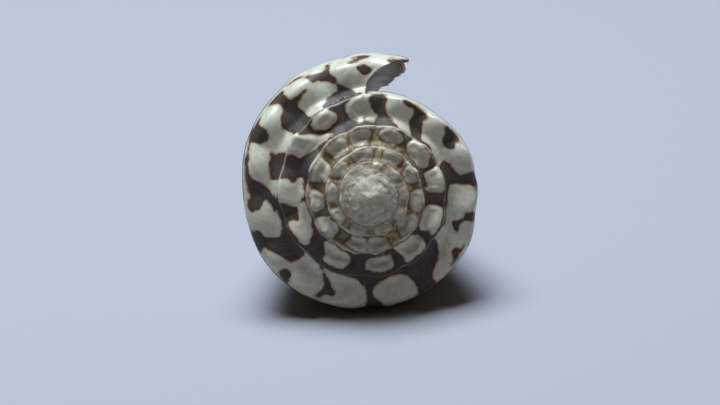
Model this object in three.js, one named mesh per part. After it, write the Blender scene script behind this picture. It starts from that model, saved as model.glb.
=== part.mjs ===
// A marbled cone shell, lying on its side as it comes to rest, with the slit of its mouth facing up.
//
// The shell grew as one piece, so it is one closed solid. Its surface is a tube-like sheet that winds
// around the coiling axis. A row of points is one growth line, the shape that the lip had at one moment,
// and each row lies one step further round the axis. The columns of a row run from the seam with the
// earlier whorl (the suture), over the sloping ramp and its ridge of low knobs, round the shoulder, and
// down the cone's side to the front end.

import * as THREE from 'three';

// Driving dimensions, in millimetres and degrees. A growth angle is counted from a mark on the last
// whorl, and grows clockwise as seen from the tip of the spire. Heights are measured from the tip of the
// spire, down to the front end.
const shellLength = 82;
const lipRadius = 26;
const lipAngle = 377.5;
const lastTurnGrowth = 1.386;
const spireTurnGrowth = 1.42;
const spireTurns = 4;

// The spire: its height down to the ridge at the lip, and the rounding of its tip.
const spireDrop = 10.4;
const apexRounding = 2.4;

// The ridge's distance from the axis, as a share of the whorl's radius. It moves inwards over part of
// the last turn.
const ridgeShareOfSpire = 0.93;
const ridgeShareAtLip = 0.89;
const ridgeShift = [60, 300];

// The ramp's shelf and the knobs on its ridge, as shares of the whorl's radius.
const shelfRise = 0.032;
const shelfPlace = 0.36;
const fallCurve = 1.5;
const shelfCurve = 1.2;
const knobHeight = 0.08;
const knobReach = 0.04;
const knobFullness = 0.65;
const knobStart = 0.25;
const knobEnd = 75;

// The shoulder and the cone's side, which bulges a little below the shoulder.
const shoulderDrop = 0.135;
const sideBulge = 0.033;
const bulgePlace = 0.1;

// The front end: its radius at the lip and where the lip meets the columella one turn back, and how its
// edge rises.
const lipFrontRadius = 9.2;
const columellaRadius = 2.6;
const columellaRise = 1.5;
const lipCornerRise = 2.2;
const lipCornerSpan = [-50, 11];

// The wall, and the hollow behind it: how far round it reaches, and how much of that is open at the
// front end.
const wallThickness = 1.8;
const lipThickness = 0.55;
const lipThinning = 30;
const frontThickness = 1.1;
const cavityTurn = 315;
const cavityFloorRise = 16;
const canalTurn = 148.5;
const canalOpening = 70;
const canalClosing = [0.7, 1];

// The wall's inner face below the ridge and the shoulder, as shares of the wall's thickness: how far in
// it stands from the outer face, and how far below it.
const ridgeInset = { inwards: 0.3, down: 1.25 };
const seatInset = { inwards: 0.6, down: 1 };
const widestInset = { inwards: 1, down: 0.3 };
const ceilingBend = 0.25;

// How far the lip stands back, in degrees, behind its corner on the shoulder. Along the side, pairs give
// a share of the side's length and the degrees that the lip stands ahead of the corner.
const ridgeLag = 12.5;
const sutureLag = 13.5;
const sideLead = [[0, 0], [0.25, 3], [0.45, -1], [0.6, -5], [1, -9]];

// Places round the shoulder, as degrees of its rounding: 0 is the ridge and 90 the widest point.
const sutureSeat = 32;
const widest = 90;

// The last whorl's shoulder swells and hollows a little: growth angle and millimetres. The shell rests on
// the two sides of the hollow at 179.
const swells = [
  [16, 0], [38, -0.24], [68, 0.31], [81, -0.1], [90, 0.1], [100, -0.3], [117, 0.4], [140, 0.15],
  [168, 0], [179, -0.5], [190, 0], [227, 0.2], [268, -0.62], [296, -0.05], [326, -0.14], [348, -0.53],
  [359, -0.36], [368, -0.55], [373, -0.55], [380, -0.85],
];

// Growth angles of the knobs on the ridge, and how far they stand out along the spire.
const knobs = [
  -1480, -1440, -1404, -1366, -1328, -1290, -1252, -1216, -1180, -1142, -1104, -1068, -1032, -996, -958,
  -920, -880, -840, -805, -768, -733, -690, -658, -625, -592, -548, -525, -485, -456, -424, -394, -369,
  -339, -308, -280, -247, -217, -191, -154, -117, -90, -53, -33, -5, 22, 46, 68, 98, 128, 165, 192, 216,
  235, 256, 283, 305, 325, 350, 372, 400,
];
const knobStrength = [
  [-1440, 0.1], [-1080, 0.6], [-720, 0.9], [-300, 1], [40, 0.8], [150, 0.3], [230, 0.45], [330, 0.55],
];

// How finely the sheet is divided. The step divides a turn and the suture's lag evenly.
const step = 4.5;
const rampColumns = [0, 0.14, 0.34, 0.7, 1];
const sideColumns = [0.06, 0.14, 0.26, 0.42, 0.61, 0.81, 1];

// How the shell lies: rolled about its own axis, and the spire's end raised off the ground.
const roll = -4.5;
const axisRise = 14.1;

const turn = 360;
const { degToRad, lerp, smoothstep } = THREE.MathUtils;
const lastTurnStart = lipAngle - turn;
const spireStart = lastTurnStart - spireTurns * turn;
const spireSlope = spireDrop / (Math.hypot(lipRadius * ridgeShareAtLip, apexRounding) - apexRounding);

// Reads a list of [place, value] pairs at any place, easing from each pair to the next.
function along(list, place) {
  const next = list.findIndex(([at]) => at > place);
  if (next === 0) return list[0][1];
  if (next < 0) return list[list.length - 1][1];
  const [from, start] = list[next - 1];
  const [to, end] = list[next];
  return lerp(start, end, smoothstep(place, from, to));
}

// Distance from the coiling axis to the widest point of the whorl.
function whorlRadius(angle) {
  const growth = angle > lastTurnStart ? lastTurnGrowth : spireTurnGrowth;
  return (lipRadius / lastTurnGrowth) * growth ** ((angle - lastTurnStart) / turn) + along(swells, angle);
}

// The spire's overall shape is a low cone with a rounded tip.
function coneHeight(radius) {
  return -spireSlope * (Math.hypot(radius, apexRounding) - apexRounding);
}

// 1 on a knob and 0 midway between two.
function knobWave(angle) {
  const next = knobs.findIndex((at) => at > angle);
  const share = (angle - knobs[next - 1]) / (knobs[next] - knobs[next - 1]);
  return (0.5 + 0.5 * Math.cos(2 * Math.PI * share)) ** knobFullness * along(knobStrength, angle);
}

function ridgeAt(angle) {
  const whorl = whorlRadius(angle);
  const radius = whorl * lerp(ridgeShareOfSpire, ridgeShareAtLip, smoothstep(angle, ...ridgeShift));
  return { whorl, radius, height: coneHeight(radius) };
}

// A point on the ramp between the suture and the ridge, at a share of the ramp's width. It falls steeply
// from the suture to a flatter shelf, which reaches out to the ridge.
function rampPoint(angle, share, suture) {
  const ridge = ridgeAt(angle);
  const radius = lerp(suture.radius, ridge.radius, share);
  const shelf = ridge.height + shelfRise * ridge.whorl;
  const inner = Math.max(0, 1 - share / shelfPlace);
  const outer = Math.max(0, (share - shelfPlace) / (1 - shelfPlace));
  const carved = shelf + (suture.height - shelf) * inner ** fallCurve
    - (shelf - ridge.height) * outer ** shelfCurve;
  const carving = smoothstep(angle, spireStart + turn, spireStart + 2.5 * turn);
  const knob = knobWave(angle) * smoothstep(share, knobStart, 1);
  return {
    radius: radius + knobReach * ridge.whorl * knob,
    height: lerp(coneHeight(radius), carved, carving) + knobHeight * ridge.whorl * knob,
  };
}

// A point round the shoulder, from the ridge (0 degrees) to the widest point (90 degrees).
function shoulderPoint(angle, bend) {
  const ridge = ridgeAt(angle);
  const out = Math.sin(degToRad(bend));
  const down = 1 - Math.cos(degToRad(bend));
  const knob = knobWave(angle) * (1 - smoothstep(bend, 0, knobEnd));
  return {
    radius: lerp(ridge.radius, ridge.whorl, out) + knobReach * ridge.whorl * knob,
    height: ridge.height + (knobHeight * knob - shoulderDrop * down) * ridge.whorl,
  };
}

function shoulderLag(bend) {
  return ridgeLag * (1 - Math.sin(degToRad(bend)));
}

// Height of the front end's edge. It rises a little towards the columella, and rounds off at the lip's
// corner.
function frontHeight(angle) {
  const corner = smoothstep(angle - lipAngle, ...lipCornerSpan);
  return -shellLength + columellaRise * ((lipAngle - angle) / turn) + lipCornerRise * corner;
}

function frontRadius(angle) {
  return columellaRadius * (lipFrontRadius / columellaRadius) ** ((angle - lastTurnStart) / turn);
}

// Distance from the axis to the cone's side, at a height. The side bulges a little below the shoulder.
function sideRadius(angle, height) {
  const top = shoulderPoint(angle, widest);
  const share = Math.max(0, (top.height - height) / (top.height - frontHeight(angle)));
  const bulge = (share / bulgePlace) * Math.exp(1 - share / bulgePlace);
  return lerp(top.radius, frontRadius(angle), share) + sideBulge * top.radius * bulge;
}

// The mesh: a list of points, and triangles between them.
const points = [];
const triangles = [];

function addPoint(angle, { radius, height }) {
  const around = degToRad(angle);
  points.push([radius * Math.sin(around), radius * Math.cos(around), height]);
  return points.length - 1;
}

function pointAt(index) {
  const [x, y, z] = points[index];
  return { radius: Math.hypot(x, y), height: z };
}

function addTriangle(a, b, c) {
  if (a !== b && b !== c && c !== a) triangles.push(a, c, b);
}

// Joins two rows with as many points each. Where the rows share a point, the triangle there falls away.
function joinRows(row, nextRow) {
  for (let k = 0; k + 1 < row.length; k += 1) {
    addTriangle(row[k], row[k + 1], nextRow[k]);
    addTriangle(row[k + 1], nextRow[k + 1], nextRow[k]);
  }
}

const rowsToSuture = Math.round((turn + sutureLag) / step);
const lastRow = Math.round((lipAngle - spireStart) / step);
const lastTurnRow = lastRow - rowsToSuture;
const cavityRow = lastRow - Math.round(cavityTurn / step);
const canalRow = lastRow - Math.round(canalTurn / step);
const ridgeColumn = rampColumns.length - 1;
const seatColumn = ridgeColumn + 1;
const widestColumn = ridgeColumn + 2;
const frontColumn = widestColumn + sideColumns.length;

const rowAngle = (row) => lipAngle - (lastRow - row) * step;

// How far a row stands back on the ramp, in degrees, at a share of the ramp's width.
function rampLag(share) {
  return lerp(shoulderLag(sutureSeat) + sutureLag, ridgeLag, share ** 2);
}

// A point of the outer surface above the side, in a ramp or shoulder column.
function crownPoint(row, column, suture) {
  const bend = column === seatColumn ? sutureSeat : widest;
  if (column > ridgeColumn) {
    const angle = rowAngle(row) - shoulderLag(bend);
    return addPoint(angle, shoulderPoint(angle, bend));
  }
  const share = rampColumns[column];
  const angle = rowAngle(row) - rampLag(share);
  return addPoint(angle, rampPoint(angle, share, suture));
}

// A point on the cone's side, with the height at which the row ends.
function sidePoint(row, column, endHeight) {
  const share = sideColumns[column - widestColumn - 1];
  const angle = rowAngle(row) + along(sideLead, share);
  const height = lerp(shoulderPoint(angle, widest).height, endHeight, share);
  return addPoint(angle, { radius: sideRadius(angle, height), height });
}

// The outer surface. Each row starts at the seat that the earlier whorl gives it, and those of the first
// turn start at the apex.
const apex = addPoint(0, { radius: 0, height: 0 });
const outer = [];
for (let row = 0; row <= lastRow; row += 1) {
  const start = row < rowsToSuture ? apex : outer[row - rowsToSuture][seatColumn];
  const end = row < lastTurnRow ? seatColumn : frontColumn;
  outer.push([start]);
  for (let column = 1; column <= end; column += 1) {
    if (row === 0) {
      outer[0][column] = column === 1 ? crownPoint(0, seatColumn) : outer[0][1];
    } else if (column <= widestColumn) {
      outer[row].push(crownPoint(row, column, pointAt(start)));
    } else {
      outer[row].push(sidePoint(row, column, frontHeight(rowAngle(row))));
    }
  }
}
for (let row = 0; row < lastRow; row += 1) joinRows(outer[row], outer[row + 1]);

// The earlier whorl's side, which the cavity of the last whorl lies against. Deep inside, the cavity's
// floor rises.
const pillar = [];
for (let row = cavityRow - rowsToSuture; row < lastTurnRow; row += 1) {
  const depth = smoothstep(canalRow - rowsToSuture - row, 0, canalRow - cavityRow);
  const endHeight = frontHeight(lastTurnStart) + cavityFloorRise * depth;
  pillar[row] = [];
  pillar[row][widestColumn] = crownPoint(row, widestColumn);
  for (let column = widestColumn + 1; column <= frontColumn; column += 1) {
    pillar[row][column] = sidePoint(row, column, endHeight);
  }
}
pillar[lastTurnRow] = outer[lastTurnRow];
for (let row = cavityRow - rowsToSuture; row < lastTurnRow; row += 1) {
  joinRows(pillar[row].slice(widestColumn), pillar[row + 1].slice(widestColumn));
}

// The inner face of the last whorl's wall. It starts at the earlier whorl's side, runs under the ramp and
// round the shoulder, and down to the front end, where the wall closes on the pillar behind the canal.
function ceilingPoint(row, column, thickness, seat) {
  const share = column / ridgeColumn;
  const ridge = ridgeAt(rowAngle(row) - ridgeLag);
  const shelf = ridge.height + shelfRise * ridge.whorl - thickness;
  const belowRidge = ridge.height - ridgeInset.down * thickness;
  const fall = Math.sin(Math.PI * Math.min(0.5, 2 * share));
  const radius = lerp(seat.radius, ridge.radius - ridgeInset.inwards * thickness, share);
  const height = lerp(lerp(seat.height, shelf, fall), belowRidge, smoothstep(share, ceilingBend, 1));
  return addPoint(rowAngle(row) - rampLag(share), { radius, height });
}

function wallPoint(row, column, thickness, pillarEnd) {
  const share = sideColumns[column - widestColumn - 1];
  const outside = pointAt(outer[row][column]);
  const height = row < canalRow ? lerp(outside.height, pillarEnd.height, share) : outside.height;
  const angle = rowAngle(row) + along(sideLead, share);
  const thin = lerp(thickness, Math.min(thickness, frontThickness), share);
  const opened = smoothstep(row, canalRow, canalRow + canalOpening / step);
  const closing = smoothstep(share, ...canalClosing) * (1 - opened);
  const radius = lerp(sideRadius(angle, height) - thin, pillarEnd.radius, closing);
  return addPoint(angle, { radius, height });
}

function innerPoint(row, column, seat, pillarEnd) {
  const thickness = lerp(lipThickness, wallThickness, smoothstep(lastRow - row, 0, lipThinning / step));
  if (column <= ridgeColumn) return ceilingPoint(row, column, thickness, seat);
  if (column > widestColumn) return wallPoint(row, column, thickness, pillarEnd);
  const outside = pointAt(outer[row][column]);
  const [bend, inset] = column === seatColumn ? [sutureSeat, seatInset] : [widest, widestInset];
  const radius = outside.radius - inset.inwards * thickness;
  const height = outside.height - inset.down * thickness;
  return addPoint(rowAngle(row) - shoulderLag(bend), { radius, height });
}

const inner = [];
for (let row = cavityRow; row <= lastRow; row += 1) {
  const against = pillar[row - rowsToSuture];
  inner[row] = [against[widestColumn]];
  for (let column = 1; column <= frontColumn; column += 1) {
    const closed = row <= canalRow && column === frontColumn;
    const seat = pointAt(against[widestColumn]);
    const end = pointAt(against[frontColumn]);
    inner[row].push(closed ? against[frontColumn] : innerPoint(row, column, seat, end));
  }
}
for (let row = cavityRow; row < lastRow; row += 1) joinRows(inner[row + 1], inner[row]);

// The back of the cavity.
const back = inner[cavityRow];
const behind = pillar[cavityRow - rowsToSuture];
const backPillar = back.map((_, column) => behind[Math.max(column, widestColumn)]);
joinRows(back, backPillar);

// The edge of the lip, and the edge of the wall along the front end.
joinRows(outer[lastRow], inner[lastRow]);
for (let row = canalRow; row < lastRow; row += 1) {
  const edge = [outer[row][frontColumn], inner[row][frontColumn]];
  joinRows(edge, [outer[row + 1][frontColumn], inner[row + 1][frontColumn]]);
}

// The front end of the pillar closes on its tip.
const tip = addPoint(0, { radius: 0, height: frontHeight(lastTurnStart) - columellaRise });
const rim = [];
for (let row = canalRow - rowsToSuture; row < lastTurnRow; row += 1) rim.push(pillar[row][frontColumn]);
for (let row = lastTurnRow; row <= canalRow; row += 1) rim.push(outer[row][frontColumn]);
rim.push(rim[0]);
for (let k = 0; k + 1 < rim.length; k += 1) addTriangle(rim[k], tip, rim[k + 1]);

const geometry = new THREE.BufferGeometry();
geometry.setAttribute('position', new THREE.Float32BufferAttribute(points.flat(), 3));
geometry.setIndex(triangles);
geometry.computeVertexNormals();

const shellMaterial = new THREE.MeshStandardMaterial({ color: 0xd9dbcf, roughness: 0.3, metalness: 0 });
const shell = new THREE.Mesh(geometry, shellMaterial);
shell.name = 'shell';

// The axis lies level along Y with the apex towards -Y, then the shell is rolled and its spire end raised.
const lying = new THREE.Group();
shell.rotation.z = degToRad(roll);
lying.rotation.x = degToRad(90 - axisRise);
lying.add(shell);

const model = new THREE.Group();
model.add(lying);

// The ground is at Z 0, and the origin is below the middle of the shell.
model.updateMatrixWorld(true);
const box = new THREE.Box3().setFromObject(model, true);
const middle = box.getCenter(new THREE.Vector3());
lying.position.set(-middle.x, -middle.y, -box.min.z);

export default model;
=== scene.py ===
"""A marbled cone shell, seen from the tip of its spire, with its marks, growth lines and worn places.

The shell is one sheet that winds around the coiling axis. A row of points is one growth line, and the
columns of a row run from the suture over the ramp, the ridge of knobs and the shoulder, down the side.
Everything about the shape is worked out in millimetres and degrees in the shell's own frame, where the
axis is Z, the tip of the spire is at 0 and the front end at -82, and then laid in place.
"""

import math
import random
from functools import partial
from types import SimpleNamespace

import bpy
import numpy as np
from mathutils import Matrix, Vector


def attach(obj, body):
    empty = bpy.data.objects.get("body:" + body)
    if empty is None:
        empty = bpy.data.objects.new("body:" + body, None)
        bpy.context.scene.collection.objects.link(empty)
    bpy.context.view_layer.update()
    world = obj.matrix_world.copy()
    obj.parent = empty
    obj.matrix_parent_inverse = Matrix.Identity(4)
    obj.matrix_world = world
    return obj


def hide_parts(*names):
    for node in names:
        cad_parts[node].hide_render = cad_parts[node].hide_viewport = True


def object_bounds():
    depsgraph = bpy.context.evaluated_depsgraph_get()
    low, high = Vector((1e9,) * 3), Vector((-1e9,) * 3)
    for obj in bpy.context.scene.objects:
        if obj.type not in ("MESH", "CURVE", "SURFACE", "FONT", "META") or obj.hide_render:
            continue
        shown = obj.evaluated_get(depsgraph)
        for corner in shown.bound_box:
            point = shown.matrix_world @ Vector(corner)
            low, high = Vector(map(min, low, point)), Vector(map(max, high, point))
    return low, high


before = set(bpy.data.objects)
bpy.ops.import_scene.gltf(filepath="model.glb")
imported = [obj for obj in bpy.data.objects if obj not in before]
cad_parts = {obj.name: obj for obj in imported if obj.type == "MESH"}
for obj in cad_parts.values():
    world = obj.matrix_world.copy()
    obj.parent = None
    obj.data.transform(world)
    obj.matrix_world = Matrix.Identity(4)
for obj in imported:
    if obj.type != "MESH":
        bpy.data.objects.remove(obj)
cad_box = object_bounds()

MM = 0.001
TURN = 360.0

# How many random values a wave runs through before it repeats, and how many stand along each edge of the cube
# of values that the noise repeats.
WAVE_VALUES = 4096
NOISE_CELLS = 32

# The shell's driving dimensions: whorls, spire, ridge, shoulder and front end. They are the solid's, but for
# one more turn of the spire, and with it a shelf and knobs that begin one turn sooner.
SHELL_LENGTH = 82.0
LIP_RADIUS = 26.0
LIP_ANGLE = 377.5
LAST_TURN_GROWTH = 1.386
SPIRE_TURN_GROWTH = 1.42
SPIRE_TURNS = 5
SPIRE_DROP = 10.4
APEX_ROUNDING = 2.4
RIDGE_SHARE_OF_SPIRE = 0.93
RIDGE_SHARE_AT_LIP = 0.89
RIDGE_SHIFT = (60, 300)
SHELF_STARTS = (-1062, -522)
SHELF_RISE = 0.032
SHELF_PLACE = 0.36
FALL_CURVE = 1.5
SHELF_CURVE = 1.2
KNOB_HEIGHT = 0.08
KNOB_REACH = 0.04
KNOB_FULLNESS = 0.65
KNOB_START = 0.25
KNOB_END = 75
SHOULDER_DROP = 0.135
SIDE_BULGE = 0.033
BULGE_PLACE = 0.1
LIP_FRONT_RADIUS = 9.2
COLUMELLA_RADIUS = 2.6
COLUMELLA_RISE = 1.5
LIP_CORNER_RISE = 2.2
LIP_CORNER_SPAN = (-50, 11)

# The wall and the hollow behind it.
WALL_THICKNESS = 1.8
LIP_THICKNESS = 0.55
LIP_THINNING = 30
FRONT_THICKNESS = 1.1
CAVITY_TURN = 315
CAVITY_FLOOR_RISE = 16
CANAL_TURN = 148.5
CANAL_OPENING = 70
CANAL_CLOSING = (0.7, 1)
CEILING_BEND = 0.25
INSET_BENDS = (0, 32, 90)
INSET_INWARDS = (0.3, 0.6, 1)
INSET_DOWN = (1.25, 1, 0.3)

# How far the growth line stands back on the crown, and ahead along the side, in degrees.
RIDGE_LAG = 12.5
SUTURE_LAG = 13.5
SIDE_LEAD = [[0, 0], [0.25, 3], [0.45, -1], [0.6, -5], [1, -9]]

# The shoulder's slow swells in millimetres, and the knobs on the ridge, by growth angle.
SWELLS = [
    [16, 0], [38, -0.24], [68, 0.31], [81, -0.1], [90, 0.1], [100, -0.3], [117, 0.4], [140, 0.15],
    [168, 0], [179, -0.5], [190, 0], [227, 0.2], [268, -0.62], [296, -0.05], [326, -0.14], [348, -0.53],
    [359, -0.36], [368, -0.55], [373, -0.55], [380, -0.85],
]
KNOBS = [
    -1480, -1440, -1404, -1366, -1328, -1290, -1252, -1216, -1180, -1142, -1104, -1068, -1032, -996,
    -958, -920, -880, -840, -805, -768, -733, -690, -658, -625, -592, -548, -525, -485, -456, -424,
    -394, -369, -339, -308, -280, -247, -217, -191, -154, -117, -90, -53, -33, -5, 22, 46, 68, 98,
    128, 165, 192, 216, 235, 256, 283, 305, 325, 350, 372, 400,
]
KNOB_STRENGTH = [
    [-1440, 0], [-1080, 0.6], [-720, 0.9], [-300, 1], [40, 0.8], [150, 0.3], [230, 0.45], [330, 0.55],
]

# How the shell lies.
ROLL = -4.5
AXIS_RISE = 14.1

# How finely the sheet is divided: degrees from row to row, and the places of the columns. The bends are
# degrees round the shoulder, from the ridge down to the widest place. From the measured bend on, marks are
# placed by the distance over the surface.
STEP = 1.125
RAMP_SHARES = (0, 0.02, 0.05, 0.08, 0.12, 0.18, 0.26, 0.34, 0.43, 0.53, 0.63, 0.73, 0.83, 0.92, 1)
SEAT_BENDS = (8, 16, 24, 32)
SHOULDER_BENDS = (42, 52, 62, 72, 81, 90)
MEASURED_BEND = 62
SIDE_DIVISIONS = 50
FINE_SIDE_START = 0.22
SIDE_CURVE = 2.2

# The photograph's scale, where it shows the coiling axis at the height of the shoulder, and how far the
# camera stands off that axis: towards the picture's top and left, in degrees.
PHOTO_SIZE = (720, 405)
PHOTO_AXIS = (368.1, 191.0)
PIXELS_PER_MM = 5.45
AXIS_PLANE = -12.4
CAMERA_OFF_UP = 5.68
CAMERA_OFF_LEFT = 2.54
CAMERA_DISTANCE = 600.0


def mix(a, b, share):
    """The value that is the given share of the way from a to b."""
    return a + (b - a) * share


def ease(x, start, end):
    """Goes smoothly from 0 at the start to 1 at the end, and stays level beyond both."""
    share = np.clip((x - start) / (end - start), 0, 1)
    return share * share * (3 - 2 * share)


def along(pairs, place):
    """Reads a list of [place, value] pairs, easing from each pair to the next."""
    at, value = np.array(pairs, float).T
    upper = np.clip(np.searchsorted(at, place, side="right"), 1, len(at) - 1)
    return mix(value[upper - 1], value[upper], ease(place, at[upper - 1], at[upper]))


def wander(place, spacing, seed):
    """A smooth random wave from -1 to 1, with a new value at every spacing. Each use has its own seed."""
    values = np.random.default_rng(seed).uniform(-1, 1, WAVE_VALUES)
    cell = np.floor(place / spacing)
    share = ease(place / spacing - cell, 0, 1)
    cell = cell.astype(int) % (WAVE_VALUES - 1)
    return mix(values[cell], values[cell + 1], share)


LAST_TURN_START = LIP_ANGLE - TURN
SPIRE_START = LAST_TURN_START - SPIRE_TURNS * TURN
SPIRE_SLOPE = SPIRE_DROP / (math.hypot(LIP_RADIUS * RIDGE_SHARE_AT_LIP, APEX_ROUNDING) - APEX_ROUNDING)


def whorl_radius(angle):
    """The shell's widest radius at a growth angle: a spiral, with the shoulder's slow swells on it."""
    growth = np.where(angle > LAST_TURN_START, LAST_TURN_GROWTH, SPIRE_TURN_GROWTH)
    spiral = LIP_RADIUS / LAST_TURN_GROWTH * growth ** ((angle - LAST_TURN_START) / TURN)
    return spiral + along(SWELLS, angle)


def cone_height(radius):
    """Height of the plain cone that the spire's ridge lies on. It is round at the tip."""
    return -SPIRE_SLOPE * (np.hypot(radius, APEX_ROUNDING) - APEX_ROUNDING)


def knob_wave(angle):
    """Height of the knobs, from 0 between two of them to their strength at the top."""
    at = np.array(KNOBS, float)
    upper = np.clip(np.searchsorted(at, angle, side="right"), 1, len(at) - 1)
    share = (angle - at[upper - 1]) / (at[upper] - at[upper - 1])
    return (0.5 + 0.5 * np.cos(2 * np.pi * share)) ** KNOB_FULLNESS * along(KNOB_STRENGTH, angle)


def ridge_at(angle):
    """The whorl's radius, and the radius and height of its ridge."""
    whorl = whorl_radius(angle)
    radius = whorl * mix(RIDGE_SHARE_OF_SPIRE, RIDGE_SHARE_AT_LIP, ease(angle, *RIDGE_SHIFT))
    return whorl, radius, cone_height(radius)


def ramp_point(angle, share, suture_radius, suture_height):
    """Radius and height on the ramp: a steep fall from the suture, then a flatter shelf out to the ridge."""
    whorl, ridge_radius, ridge_height = ridge_at(angle)
    radius = mix(suture_radius, ridge_radius, share)
    shelf = ridge_height + SHELF_RISE * whorl
    inner = np.maximum(0, 1 - share / SHELF_PLACE)
    outer = np.maximum(0, (share - SHELF_PLACE) / (1 - SHELF_PLACE))
    carved = shelf + (suture_height - shelf) * inner**FALL_CURVE - (shelf - ridge_height) * outer**SHELF_CURVE
    carving = ease(angle, *SHELF_STARTS)
    knob = knob_wave(angle) * ease(share, KNOB_START, 1)
    height = mix(cone_height(radius), carved, carving) + KNOB_HEIGHT * whorl * knob
    return radius + KNOB_REACH * whorl * knob, height


def shoulder_point(angle, bend):
    """Radius and height on the shoulder, by degrees round it from the ridge."""
    whorl, ridge_radius, ridge_height = ridge_at(angle)
    out = np.sin(np.radians(bend))
    down = 1 - np.cos(np.radians(bend))
    knob = knob_wave(angle) * (1 - ease(bend, 0, KNOB_END))
    radius = mix(ridge_radius, whorl, out) + KNOB_REACH * whorl * knob
    return radius, ridge_height + (KNOB_HEIGHT * knob - SHOULDER_DROP * down) * whorl


def shoulder_lag(bend):
    """How far the growth line stands back on the shoulder, in degrees."""
    return RIDGE_LAG * (1 - np.sin(np.radians(bend)))


def ramp_lag(share):
    """How far the growth line stands back on the ramp, in degrees."""
    return mix(shoulder_lag(SEAT_BENDS[-1]) + SUTURE_LAG, RIDGE_LAG, share**2)


def front_height(angle):
    """Height at which the side ends. It rises at the lip's corner."""
    corner = ease(angle - LIP_ANGLE, *LIP_CORNER_SPAN)
    return -SHELL_LENGTH + COLUMELLA_RISE * ((LIP_ANGLE - angle) / TURN) + LIP_CORNER_RISE * corner


def front_radius(angle):
    """Distance from the axis at which the side ends."""
    return COLUMELLA_RADIUS * (LIP_FRONT_RADIUS / COLUMELLA_RADIUS) ** ((angle - LAST_TURN_START) / TURN)


def side_radius(angle, height):
    """Distance from the axis on the side, with its slight bulge below the shoulder."""
    top_radius, top_height = shoulder_point(angle, 90)
    share = np.maximum(0, (top_height - height) / (top_height - front_height(angle)))
    bulge = share / BULGE_PLACE * np.exp(1 - share / BULGE_PLACE)
    return mix(top_radius, front_radius(angle), share) + SIDE_BULGE * top_radius * bulge


ROWS_TO_SUTURE = round((TURN + SUTURE_LAG) / STEP)
LAST_ROW = round((LIP_ANGLE - SPIRE_START) / STEP)
LAST_TURN_ROW = LAST_ROW - ROWS_TO_SUTURE
CAVITY_ROW = LAST_ROW - round(CAVITY_TURN / STEP)
CANAL_ROW = LAST_ROW - round(CANAL_TURN / STEP)
RIDGE_COLUMN = len(RAMP_SHARES) - 1
SEAT_COLUMN = RIDGE_COLUMN + len(SEAT_BENDS)
WIDEST_COLUMN = SEAT_COLUMN + len(SHOULDER_BENDS)
FRONT_COLUMN = WIDEST_COLUMN + SIDE_DIVISIONS
SIDE_COLUMNS = np.arange(WIDEST_COLUMN + 1, FRONT_COLUMN + 1)
MEASURED_COLUMN = SEAT_COLUMN + 1 + SHOULDER_BENDS.index(MEASURED_BEND)
BENDS = np.array(SEAT_BENDS + SHOULDER_BENDS, float)
SIDE_PLACES = np.arange(1, SIDE_DIVISIONS + 1) / SIDE_DIVISIONS
SIDE_SHARES = FINE_SIDE_START * SIDE_PLACES + (1 - FINE_SIDE_START) * SIDE_PLACES**SIDE_CURVE


def row_angle(row):
    """The growth angle of a row."""
    return LIP_ANGLE - (LAST_ROW - row) * STEP


# The fine relief that the solid leaves out, in millimetres: low folds along the growth lines, lumps by
# their size and height, and the groove at the suture, which only the wider ramps have.
FOLD_HEIGHT = 0.05
FOLD_SPACING = (1.9, 0.9)
FOLD_SHARES = (0.65, 0.35)
FOLD_RAMP_FADE = (0.05, 0.4)
FOLD_SIDE_FADE = 0.06
FOLD_SIDE_LOSS = 0.6
LUMPS = [(1.7, 0.045), (0.6, 0.026)]
SPIRE_LUMPS = [(1.3, 0.11), (0.62, 0.06)]
GROOVE_DEPTH = 0.14
GROOVE_PLACE = 0.14
GROOVE_WIDTH = 0.10
GROOVE_REACH = (0.12, 0.5)
GROOVED_RAMPS = (1, 3)

# The rubbed crest inside of the suture. It begins further down the seat on the young whorls.
OLD_WHORLS = (-420, -150)
CREST_BEGINS = (-0.5, 0.3)
CREST_RISE = 0.5
CREST_END = 0.7
CREST_LUMPS = (0.8, 0.16)

# The flakes beside the last stretch of the suture.
FLAKES_FROM = 330
FLAKES_TO = 358
FLAKES_FADE = 4
FLAKES_REACH = (0.5, 1.6)
FLAKE_SIZE = (1.1, 0.4)
FLAKE_LAYERS = 1.6
FLAKE_HEIGHT = 0.1

# The worn tip, and the sway of the old whorls.
WORN_RADIUS = 5.4
WORN_FADE = (0.7, 1.3)
PIT_SIZES = [(1.2, 0.07), (0.5, 0.06)]
TIP_SWELLS = [(2.7, 0.5), (0.6, 0.22)]
WOBBLE = (1.1, 0.13)

# The raised rims of the white patches, as shares of the whorl's radius. Their height goes by growth angle.
PATCH_RIM_PLACE = 0.048
PATCH_RIM_WIDTH = 0.03
PATCH_RIM_HEIGHT = [[-1080, 0.022], [-150, 0.018], [-120, 0.004], [-70, 0.004], [-45, 0.02]]

# The chips along the lip's edge.
CHIP_SPACING = 4.2
CHIP_DEPTH = 1.4
CHIP_CURVE = 1.3
SMALL_CHIP_SPACING = 1.47
SMALL_CHIP_SHARE = 0.3
CHIP_START = (0.2, 2.5)
CHIP_ROWS = 7

# How the edges turn into the glazed inside: rows on the pillar, shares of the way round the lip, and how
# dark the line along the lip's outer edge is.
GLAZE_ROWS = (2, 14)
EDGE_SHADE = (0.3, 1)
LIP_LINE = 0.9

# Millimetres grown along the ridge up to each row, which places the growth lines.
ALL_ROWS = np.arange(LAST_ROW + 1)
GROWN = np.cumsum(whorl_radius(row_angle(ALL_ROWS)) * math.radians(STEP))


def fold(rows):
    """Height of the growth folds at each row."""
    grown = GROWN[rows]
    coarse = wander(grown, FOLD_SPACING[0], 11)
    fine = wander(grown, FOLD_SPACING[1], 12)
    small = np.clip(whorl_radius(row_angle(rows)) / LIP_RADIUS, 0, 1)
    return FOLD_HEIGHT * small * (FOLD_SHARES[0] * coarse + FOLD_SHARES[1] * fine)


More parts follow.
